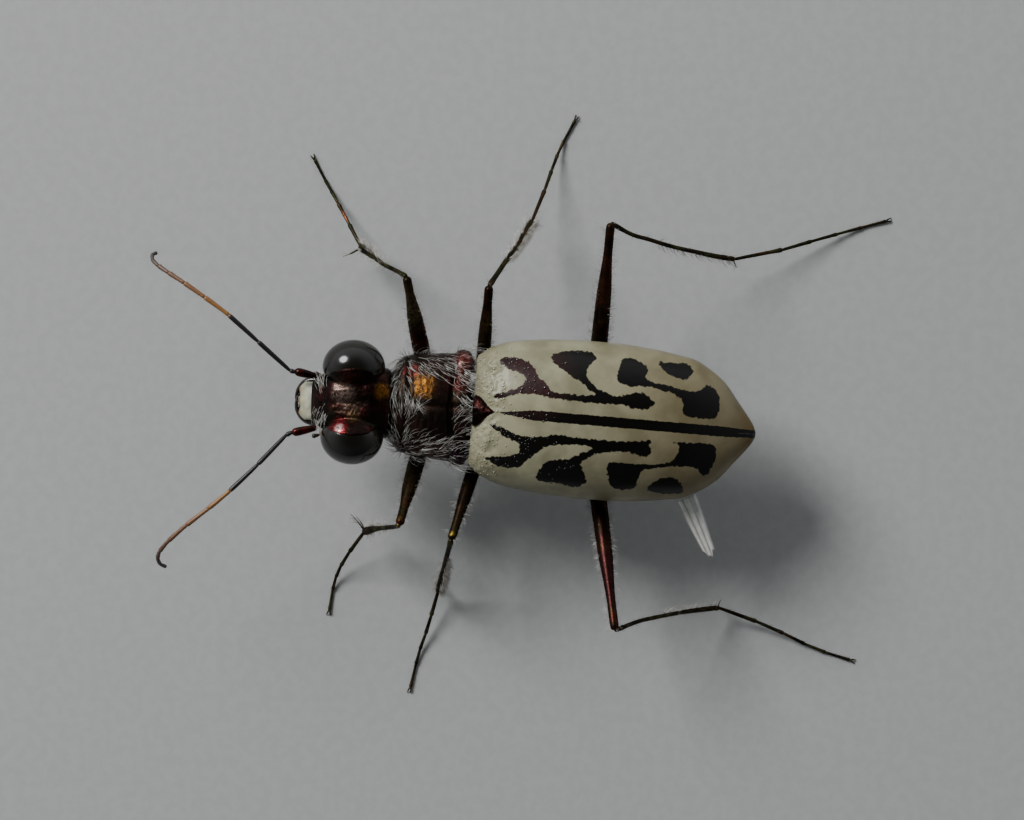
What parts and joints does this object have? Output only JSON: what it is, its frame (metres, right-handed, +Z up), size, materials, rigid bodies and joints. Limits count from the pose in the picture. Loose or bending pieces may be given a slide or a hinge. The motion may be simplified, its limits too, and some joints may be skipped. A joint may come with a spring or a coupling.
{
  "type": "tiger beetle model",
  "caption": "Life-size tiger beetle with large eyes, sickle jaws, ivory wing cases with dark marks and long spread legs, standing on its feet.",
  "frame": {"origin": "on the floor plane that the feet stand on, below the middle of the whole model's box", "axes": "+Z up, the head points along -Y, the beetle's left side is +X"},
  "size_m": [0.0218, 0.0276, 0.0066],
  "materials": {
    "copper_cuticle": "satin",
    "eye_brown": "polished",
    "ivory_cuticle": "satin",
    "jaw_brown": "satin",
    "palp_amber": "satin",
    "feeler_brown": "satin",
    "body_bronze": "satin",
    "thigh_purple": "satin",
    "shin_green": "satin",
    "wing_membrane": "satin",
    "white_hair": "satin"
  },
  "bodies": {
    "root": {"abdomen": "body_bronze", "antenna_left_flagellum": "feeler_brown", "antenna_left_scape": "copper_cuticle", "antenna_right_flagellum": "feeler_brown", "antenna_right_scape": "copper_cuticle", "elytron_left": "ivory_cuticle", "elytron_right": "ivory_cuticle", "eye_left": "eye_brown", "eye_right": "eye_brown", "head": "copper_cuticle", "labrum": "ivory_cuticle", "leg_front_left_coxa": "body_bronze", "leg_front_left_femur": "thigh_purple", "leg_front_left_tarsus": "shin_green", "leg_front_left_tibia": "shin_green", "leg_front_right_coxa": "body_bronze", "leg_front_right_femur": "thigh_purple", "leg_front_right_tarsus": "shin_green", "leg_front_right_tibia": "shin_green", "leg_hind_left_coxa": "body_bronze", "leg_hind_left_femur": "thigh_purple", "leg_hind_left_tarsus": "shin_green", "leg_hind_left_tibia": "shin_green", "leg_hind_right_coxa": "body_bronze", "leg_hind_right_femur": "thigh_purple", "leg_hind_right_tarsus": "shin_green", "leg_hind_right_tibia": "shin_green", "leg_middle_left_coxa": "body_bronze", "leg_middle_left_femur": "thigh_purple", "leg_middle_left_tarsus": "shin_green", "leg_middle_left_tibia": "shin_green", "leg_middle_right_coxa": "body_bronze", "leg_middle_right_femur": "thigh_purple", "leg_middle_right_tarsus": "shin_green", "leg_middle_right_tibia": "shin_green", "mandible_left": "jaw_brown", "mandible_right": "jaw_brown", "palp_labial_left": "palp_amber", "palp_labial_right": "palp_amber", "palp_maxillary_left": "palp_amber", "palp_maxillary_right": "palp_amber", "prothorax": "copper_cuticle", "scutellum": "copper_cuticle", "thorax": "body_bronze", "wing_tip_left": "wing_membrane"}
  },
  "joints": []
}
